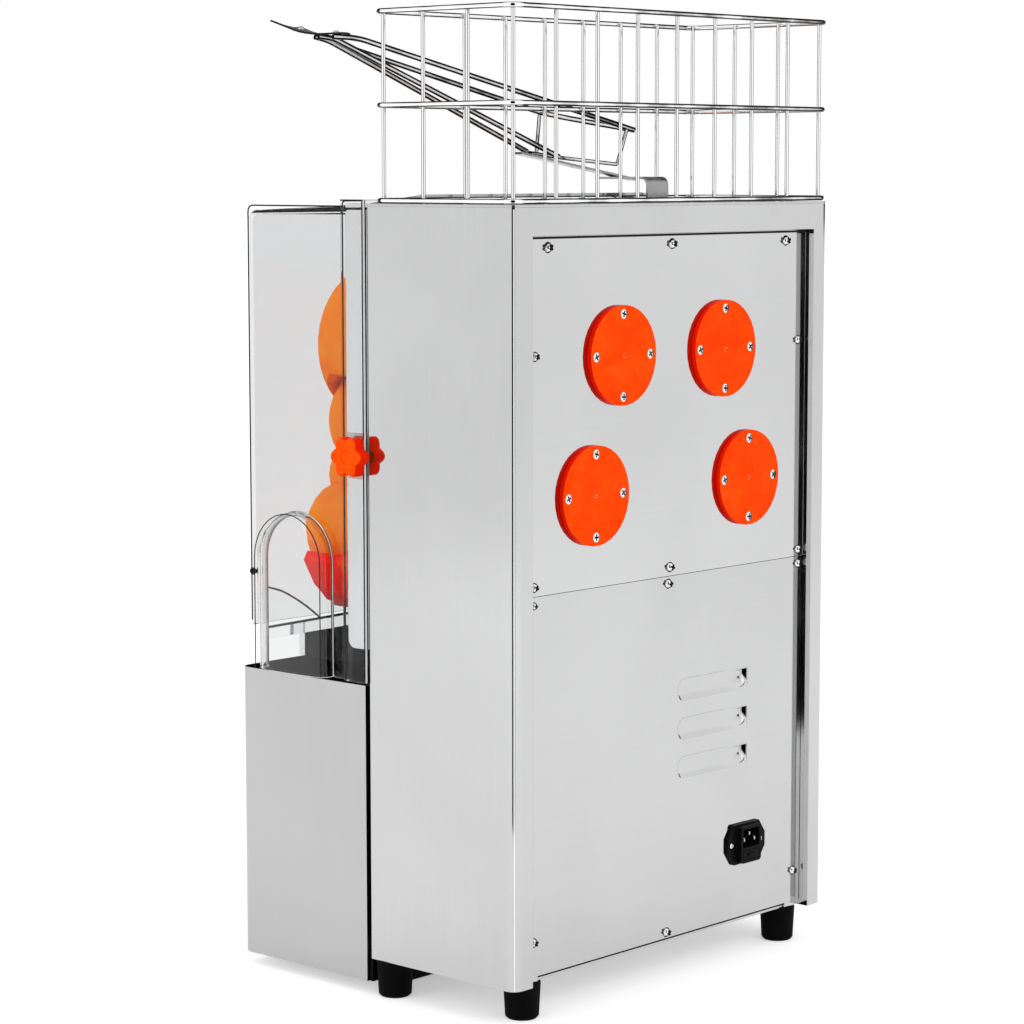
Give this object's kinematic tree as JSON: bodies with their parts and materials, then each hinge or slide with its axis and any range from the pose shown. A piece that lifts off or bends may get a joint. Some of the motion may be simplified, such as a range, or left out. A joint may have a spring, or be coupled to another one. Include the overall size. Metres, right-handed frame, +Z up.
{
  "type": "commercial citrus juicer",
  "caption": "Upright stainless citrus juicer with geared pressing drums behind a clear cover, wire fruit basket, feed ramp, peel bins and a juice tap.",
  "frame": {"origin": "bottom centre of the overall box", "axes": "+X towards the side at the left of the picture, -Y the serving front, +Z up"},
  "size_m": [0.4356, 0.3116, 0.7926],
  "materials": {
    "stainless_sheet": "bright brushed",
    "polished_wire": "polished",
    "turned_steel": "turned",
    "orange_plastic": "satin gloss",
    "clear_plastic": "clear",
    "black_rubber": "matte",
    "black_plastic": "satin",
    "motor_paint": "satin paint",
    "cast_aluminium": "machined"
  },
  "bodies": {
    "machine": {"body_shell": "stainless_sheet", "top_plate": "stainless_sheet", "base_plate": "stainless_sheet", "rear_upper_panel": "stainless_sheet", "rear_lower_panel": "stainless_sheet", "foot_rear_right": "black_rubber", "foot_rear_left": "black_rubber", "foot_front_right": "black_rubber", "foot_front_left": "black_rubber", "bearing_cap_upper_right": "orange_plastic", "bearing_cap_upper_left": "orange_plastic", "bearing_cap_lower_right": "orange_plastic", "bearing_cap_lower_left": "orange_plastic", "inlet_body": "black_plastic", "bearing_plate": "cast_aluminium", "motor_plate": "stainless_sheet", "gear_motor": "motor_paint", "knife_holder": "orange_plastic", "knife": "turned_steel", "peel_scraper_right": "orange_plastic", "peel_scraper_left": "orange_plastic", "juice_funnel": "stainless_sheet", "juice_tank": "stainless_sheet", "tap_body": "turned_steel", "bin_shelf": "black_plastic", "knob_bracket_right": "stainless_sheet", "knob_bracket_left": "stainless_sheet", "switch_housing": "black_plastic", "fruit_basket": "polished_wire", "feed_ramp": "polished_wire", "ramp_bracket": "stainless_sheet"},
    "roller_upper_right": {"shaft_upper_right": "turned_steel", "cup_drum_upper_right": "orange_plastic", "gear_upper_right": "turned_steel"},
    "roller_upper_left": {"shaft_upper_left": "turned_steel", "cup_drum_upper_left": "orange_plastic", "gear_upper_left": "turned_steel"},
    "roller_lower_right": {"shaft_lower_right": "turned_steel", "ball_drum_lower_right": "orange_plastic", "gear_lower_right": "turned_steel"},
    "roller_lower_left": {"shaft_lower_left": "turned_steel", "ball_drum_lower_left": "orange_plastic", "gear_lower_left": "turned_steel"},
    "pinion": {"motor_pinion": "turned_steel"},
    "cover": {"front_cover": "clear_plastic", "peel_hood_right": "clear_plastic", "peel_hood_left": "clear_plastic", "cover_bumper_right": "black_rubber", "cover_bumper_left": "black_rubber"},
    "knob_right": {"cover_knob_right": "orange_plastic"},
    "bin_right": {"peel_bin_right": "stainless_sheet"},
    "knob_left": {"cover_knob_left": "orange_plastic"},
    "bin_left": {"peel_bin_left": "stainless_sheet"},
    "filter": {"filter_box": "stainless_sheet"},
    "tray": {"drip_tray": "black_plastic"},
    "grid": {"drip_grid": "stainless_sheet"},
    "tap_handle": {"tap_lever": "black_plastic"},
    "fuse": {"fuse_drawer": "black_plastic"},
    "rocker": {"switch_rocker": "black_plastic"}
  },
  "joints": [
    {"name": "roller_upper_right_spin", "type": "hinge", "parent": "machine", "child": "roller_upper_right", "pos_m": [0.065, -0.02329, 0.5205], "axis": [0, 1, 0], "continuous": true},
    {"name": "roller_upper_left_spin", "type": "hinge", "parent": "machine", "child": "roller_upper_left", "pos_m": [-0.065, -0.02329, 0.5205], "axis": [0, 1, 0], "continuous": true},
    {"name": "roller_lower_right_spin", "type": "hinge", "parent": "machine", "child": "roller_lower_right", "pos_m": [0.098, -0.02329, 0.411], "axis": [0, 1, 0], "continuous": true},
    {"name": "roller_lower_left_spin", "type": "hinge", "parent": "machine", "child": "roller_lower_left", "pos_m": [-0.098, -0.02329, 0.411], "axis": [0, 1, 0], "continuous": true},
    {"name": "pinion_spin", "type": "hinge", "parent": "machine", "child": "pinion", "pos_m": [0.045, 0.03771, 0.33642], "axis": [0, 1, 0], "continuous": true},
    {"name": "cover_slide", "type": "slide", "parent": "machine", "child": "cover", "axis": [0, -1, 0], "range_m": [0, 0.25]},
    {"name": "knob_right_turn", "type": "hinge", "parent": "machine", "child": "knob_right", "pos_m": [0.2088, -0.01329, 0.4395], "axis": [1, 0, 0], "continuous": true},
    {"name": "bin_right_slide", "type": "slide", "parent": "machine", "child": "bin_right", "axis": [0, -1, 0], "range_m": [0, 0.16]},
    {"name": "knob_left_turn", "type": "hinge", "parent": "machine", "child": "knob_left", "pos_m": [-0.2088, -0.01329, 0.4395], "axis": [-1, 0, 0], "continuous": true},
    {"name": "bin_left_slide", "type": "slide", "parent": "machine", "child": "bin_left", "axis": [0, -1, 0], "range_m": [0, 0.16]},
    {"name": "filter_slide", "type": "slide", "parent": "machine", "child": "filter", "axis": [0, -1, 0], "range_m": [0, 0.14]},
    {"name": "tray_slide", "type": "slide", "parent": "machine", "child": "tray", "axis": [0, -1, 0], "range_m": [0, 0.14]},
    {"name": "grid_lift", "type": "slide", "parent": "tray", "child": "grid", "axis": [0, 0, 1], "range_m": [0, 0.03]},
    {"name": "tap_turn", "type": "hinge", "parent": "machine", "child": "tap_handle", "pos_m": [0, -0.13529, 0.242], "axis": [0, 0, -1], "range_deg": [0, 90]},
    {"name": "fuse_slide", "type": "slide", "parent": "machine", "child": "fuse", "axis": [0, 1, 0], "range_m": [0, 0.025]},
    {"name": "rocker_tilt", "type": "hinge", "parent": "machine", "child": "rocker", "pos_m": [-0.2004, 0.10271, 0.248], "axis": [0, -1, 0], "range_deg": [0, 20]}
  ],
  "couplings": [
    {"joint": "roller_upper_right_spin", "follows": "roller_upper_left_spin", "ratio": -1},
    {"joint": "roller_lower_left_spin", "follows": "roller_upper_left_spin", "ratio": -1},
    {"joint": "roller_lower_right_spin", "follows": "roller_upper_left_spin", "ratio": 1},
    {"joint": "pinion_spin", "follows": "roller_upper_left_spin", "ratio": -1.6667}
  ]
}
